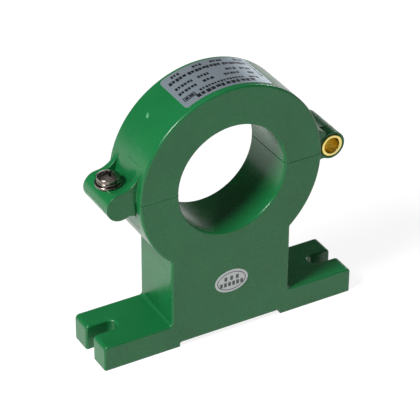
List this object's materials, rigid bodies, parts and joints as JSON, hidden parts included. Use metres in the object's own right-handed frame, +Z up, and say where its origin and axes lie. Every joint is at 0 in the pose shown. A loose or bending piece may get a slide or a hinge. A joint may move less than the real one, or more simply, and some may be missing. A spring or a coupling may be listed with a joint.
{
  "type": "split-core hall effect current sensor",
  "caption": "Foot-mounted split-core current sensor: a hinged ring with a clamp screw on a flat neck, for a cable that passes through its bore.",
  "frame": {"origin": "on the mounting plane, under the middle of the base", "axes": "+X from the clamp lug to the hinge, +Y from the front face to the back covers, +Z up"},
  "size_m": [0.0974, 0.0227, 0.0961],
  "materials": {
    "housing_plastic": "glossy green moulding",
    "cover_plastic": "satin green moulding",
    "core_steel": "wound strip with ground pole faces",
    "foam": "fine foam",
    "board_laminate": "solder mask",
    "chip_epoxy": "moulded epoxy",
    "tinned_metal": "tin plated",
    "header_nylon": "natural nylon",
    "trimmer_body": "moulded",
    "rotor_nylon": "moulded",
    "capacitor_sleeve": "shrunk sleeve",
    "resistor_ceramic": "glazed top",
    "screw_steel": "nickel plated",
    "brass": "turned",
    "label_film": "silver film",
    "sticker_paper": "coated paper"
  },
  "bodies": {
    "lower_half": {"lower_housing": "housing_plastic", "lower_back_cover": "cover_plastic", "lower_core_left": "core_steel", "lower_core_right": "core_steel", "lower_core_pads": "foam", "hall_element": "chip_epoxy", "hall_leads": "tinned_metal", "circuit_board": "board_laminate", "terminal_header": "header_nylon", "terminal_pins": "tinned_metal", "zero_trimmer": "trimmer_body", "span_trimmer": "trimmer_body", "amplifier_chip": "chip_epoxy", "voltage_regulator": "chip_epoxy", "supply_capacitors": "capacitor_sleeve", "chip_resistors": "resistor_ceramic", "clamp_insert": "brass", "hinge_bush": "brass", "inspection_sticker": "sticker_paper"},
    "upper_half": {"upper_housing": "housing_plastic", "upper_back_cover": "cover_plastic", "upper_core": "core_steel", "upper_core_pads": "foam", "rating_label": "label_film"},
    "washers": {"flat_washer": "screw_steel", "spring_washer": "screw_steel"},
    "screw": {"clamp_screw": "screw_steel"},
    "zero_adjuster": {"zero_rotor": "rotor_nylon"},
    "span_adjuster": {"span_rotor": "rotor_nylon"}
  },
  "joints": [
    {"name": "ring_hinge", "type": "hinge", "parent": "lower_half", "child": "upper_half", "pos_m": [0.0403, 0, 0.0614], "axis": [0, 1, 0], "range_deg": [0, 100]},
    {"name": "screw_lift", "type": "slide", "parent": "upper_half", "child": "washers", "axis": [0, 0, 1], "range_m": [0, 0.0049]},
    {"name": "screw_turn", "type": "hinge", "parent": "washers", "child": "screw", "pos_m": [-0.0403, 0, 0.0659], "axis": [0, 0, 1], "range_deg": [0, 2520]},
    {"name": "zero_adjust", "type": "hinge", "parent": "lower_half", "child": "zero_adjuster", "pos_m": [-0.014, 0.0092, 0.02], "axis": [0, 1, 0], "range_deg": [-130, 130]},
    {"name": "span_adjust", "type": "hinge", "parent": "lower_half", "child": "span_adjuster", "pos_m": [-0.005, 0.0092, 0.02], "axis": [0, 1, 0], "range_deg": [-130, 130]}
  ],
  "couplings": [
    {"joint": "screw_turn", "follows": "screw_lift", "rad_per_m": 8976}
  ]
}
